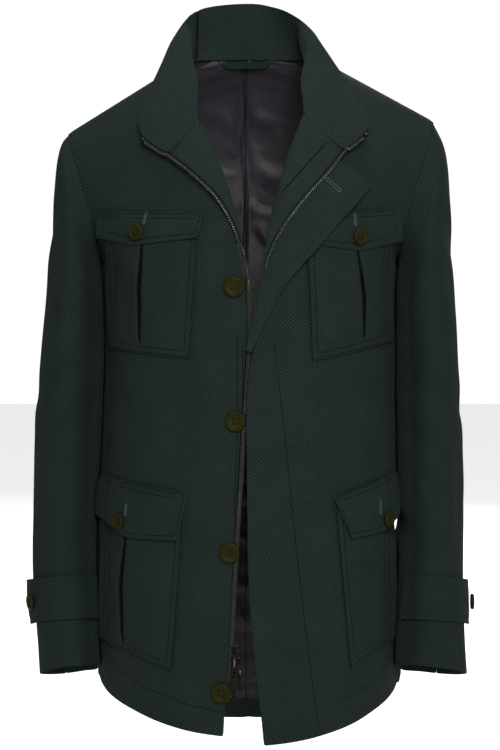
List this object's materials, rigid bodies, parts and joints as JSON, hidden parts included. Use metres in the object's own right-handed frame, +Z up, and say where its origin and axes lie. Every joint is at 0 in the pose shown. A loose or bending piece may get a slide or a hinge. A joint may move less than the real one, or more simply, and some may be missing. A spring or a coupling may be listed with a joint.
{
  "type": "field jacket",
  "caption": "Hollow open-front field jacket of green wool, with a rolled-out stand collar, a two-way zip under a buttoned fly, flap patch pockets and strapped cuffs.",
  "frame": {"origin": "between the shoulders, on the centre line at the height of the neck points, where the wearer's shoulders carry the jacket", "axes": "+Z up, front faces -Y, the wearer's right side at -X"},
  "size_m": [0.5341, 0.2757, 0.8925],
  "materials": {
    "shell_cloth": "matte wool with a two-colour weave",
    "facing_cloth": "matte wool, finer side of the weave",
    "lining_satin": "satin",
    "button_horn": "polished horn look",
    "zip_tape": "matte woven tape",
    "zip_metal": "brushed nickel"
  },
  "bodies": {
    "root": {"back_left": "shell_cloth", "back_lining_left": "lining_satin", "back_lining_right": "lining_satin", "back_right": "shell_cloth", "chest_button_left": "button_horn", "chest_button_right": "button_horn", "chest_flap_left": "shell_cloth", "chest_flap_right": "shell_cloth", "chest_pocket_left": "shell_cloth", "chest_pocket_right": "shell_cloth", "collar": "facing_cloth", "cuff_button_left": "button_horn", "cuff_button_right": "button_horn", "cuff_strap_left": "shell_cloth", "cuff_strap_right": "shell_cloth", "fly_flap_left": "facing_cloth", "front_button_1": "button_horn", "front_button_2": "button_horn", "front_button_3": "button_horn", "front_button_4": "button_horn", "front_button_5": "button_horn", "front_facing_left": "facing_cloth", "front_facing_right": "facing_cloth", "front_left": "shell_cloth", "front_right": "shell_cloth", "hanger_tab": "facing_cloth", "lower_button_left": "button_horn", "lower_button_right": "button_horn", "lower_flap_left": "shell_cloth", "lower_flap_right": "shell_cloth", "lower_pocket_left": "shell_cloth", "lower_pocket_right": "shell_cloth", "slider_lower": "zip_metal", "slider_upper": "zip_metal", "top_stop_left": "zip_metal", "top_stop_right": "zip_metal", "under_sleeve_left": "shell_cloth", "under_sleeve_right": "shell_cloth", "upper_sleeve_left": "shell_cloth", "upper_sleeve_right": "shell_cloth", "zip_box": "zip_metal", "zip_tape_left": "zip_tape", "zip_tape_right": "zip_tape"},
    "pull_upper": {"pull_tab_upper": "zip_metal"},
    "pull_lower": {"pull_tab_lower": "zip_metal"}
  },
  "joints": [
    {"name": "pull_upper_swing", "type": "hinge", "parent": "root", "child": "pull_upper", "pos_m": [-0.0164, -0.14083, -0.6482], "axis": [-1, 0, 0], "range_deg": [0, 150]},
    {"name": "pull_lower_swing", "type": "hinge", "parent": "root", "child": "pull_lower", "pos_m": [-0.00985, -0.14042, -0.6612], "axis": [-1, 0, 0], "range_deg": [0, 150]}
  ]
}
